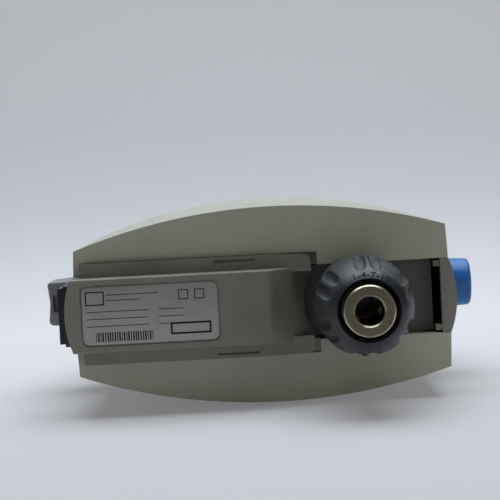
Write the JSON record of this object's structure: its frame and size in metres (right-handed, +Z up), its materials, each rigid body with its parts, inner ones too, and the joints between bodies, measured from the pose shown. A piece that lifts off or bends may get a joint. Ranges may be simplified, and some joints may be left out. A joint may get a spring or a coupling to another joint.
{
  "type": "overhead laboratory stirrer",
  "caption": "Compact overhead laboratory stirrer: rod-mounted drive head with bowed side shells, belt-driven spindle, keyless chuck, speed knob and rear power inlet.",
  "frame": {"origin": "centre of the mouth of the support-rod bore in the rear boss", "axes": "+Z up in use with the chuck pointing down along -Z, -Y to the front with the speed knob, +Y out of the rod bore at the rear"},
  "size_m": [0.0834, 0.1913, 0.2154],
  "materials": {
    "shell_plastic": "satin",
    "cover_plastic": "satin",
    "plate_film": "satin",
    "cast_aluminium": "satin",
    "bright_steel": "polished",
    "dark_steel": "blackened",
    "board_screw_steel": "plated",
    "magnet_ferrite": "satin",
    "copper_winding": "lacquered",
    "belt_rubber": "matte",
    "chuck_plastic": "satin",
    "blue_plastic": "satin",
    "black_plastic": "satin",
    "contact_brass": "plated",
    "fuse_glass": "clear",
    "window_plastic": "gloss",
    "circuit_board": "satin",
    "lead_insulation": "satin"
  },
  "bodies": {
    "housing": {"left_shell": "shell_plastic", "right_shell": "shell_plastic", "front_panel": "cover_plastic", "top_cover": "cover_plastic", "rear_panel": "cover_plastic", "lower_cover": "cover_plastic", "rating_plate": "plate_film", "main_frame": "cast_aluminium", "frame_posts": "bright_steel", "rod_holder": "cast_aluminium", "rod_clamp_screw": "dark_steel", "rod_holder_screws": "dark_steel", "motor_housing": "dark_steel", "motor_lower_bell": "cast_aluminium", "motor_upper_bell": "cast_aluminium", "stator_core": "dark_steel", "stator_coils": "copper_winding", "motor_screws": "dark_steel", "bearing_outer_rings": "bright_steel", "bearing_balls": "bright_steel", "drive_belt": "belt_rubber", "spindle_seal": "belt_rubber", "speed_sensor": "circuit_board", "encoder_body": "black_plastic", "display_window": "window_plastic", "display_module": "black_plastic", "display_board": "circuit_board", "inlet_housing": "black_plastic", "inlet_pins": "contact_brass", "power_board": "circuit_board", "power_components": "black_plastic", "control_board": "circuit_board", "control_components": "black_plastic", "mains_leads": "lead_insulation", "motor_leads": "lead_insulation", "shell_screws": "dark_steel", "board_screws": "board_screw_steel"},
    "spindle": {"spindle_shaft": "bright_steel", "spindle_inner_rings": "bright_steel", "spindle_pulley": "cast_aluminium", "spindle_circlip": "dark_steel", "speed_magnet": "magnet_ferrite", "chuck_body": "bright_steel", "chuck_collar": "chuck_plastic", "chuck_screw": "dark_steel"},
    "motor_rotor": {"motor_shaft": "bright_steel", "motor_inner_rings": "bright_steel", "rotor_core": "dark_steel", "rotor_magnets": "magnet_ferrite", "motor_pulley": "cast_aluminium"},
    "sleeve": {"chuck_sleeve": "chuck_plastic", "chuck_nut": "bright_steel"},
    "first_jaw": {"jaw_1": "bright_steel"},
    "second_jaw": {"jaw_2": "bright_steel"},
    "third_jaw": {"jaw_3": "bright_steel"},
    "knob": {"speed_knob": "blue_plastic", "encoder_shaft": "bright_steel"},
    "rocker": {"power_rocker": "black_plastic"},
    "drawer": {"fuse_drawer": "black_plastic", "fuses": "fuse_glass"}
  },
  "joints": [
    {"name": "spindle_spin", "type": "hinge", "parent": "housing", "child": "spindle", "pos_m": [0, -0.1334, 0], "axis": [0, 0, 1], "continuous": true},
    {"name": "motor_spin", "type": "hinge", "parent": "housing", "child": "motor_rotor", "pos_m": [0, -0.089, 0], "axis": [0, 0, 1], "continuous": true},
    {"name": "sleeve_turn", "type": "hinge", "parent": "spindle", "child": "sleeve", "pos_m": [0, -0.1334, 0], "axis": [0, 0, 1], "range_deg": [-288, 3030]},
    {"name": "first_jaw_slide", "type": "slide", "parent": "spindle", "child": "first_jaw", "axis": [0.2662, -0.0713, -0.9613], "range_m": [-0.00145, 0.01524]},
    {"name": "second_jaw_slide", "type": "slide", "parent": "spindle", "child": "second_jaw", "axis": [-0.0713, 0.2662, -0.9613], "range_m": [-0.00145, 0.01524]},
    {"name": "third_jaw_slide", "type": "slide", "parent": "spindle", "child": "third_jaw", "axis": [-0.1949, -0.1949, -0.9613], "range_m": [-0.00145, 0.01524]},
    {"name": "knob_turn", "type": "hinge", "parent": "housing", "child": "knob", "pos_m": [0, -0.18, -0.004], "axis": [0, 1, 0], "continuous": true},
    {"name": "rocker_tilt", "type": "hinge", "parent": "housing", "child": "rocker", "pos_m": [0, -0.0171, -0.0295], "axis": [1, 0, 0], "range_deg": [-18, 0]},
    {"name": "fuse_drawer_slide", "type": "slide", "parent": "housing", "child": "drawer", "axis": [0, 1, 0], "range_m": [0, 0.018]}
  ],
  "couplings": [
    {"joint": "motor_spin", "follows": "spindle_spin", "ratio": 2.5},
    {"joint": "first_jaw_slide", "follows": "sleeve_turn", "m_per_rad": 0.00028807},
    {"joint": "second_jaw_slide", "follows": "sleeve_turn", "m_per_rad": 0.00028807},
    {"joint": "third_jaw_slide", "follows": "sleeve_turn", "m_per_rad": 0.00028807}
  ]
}
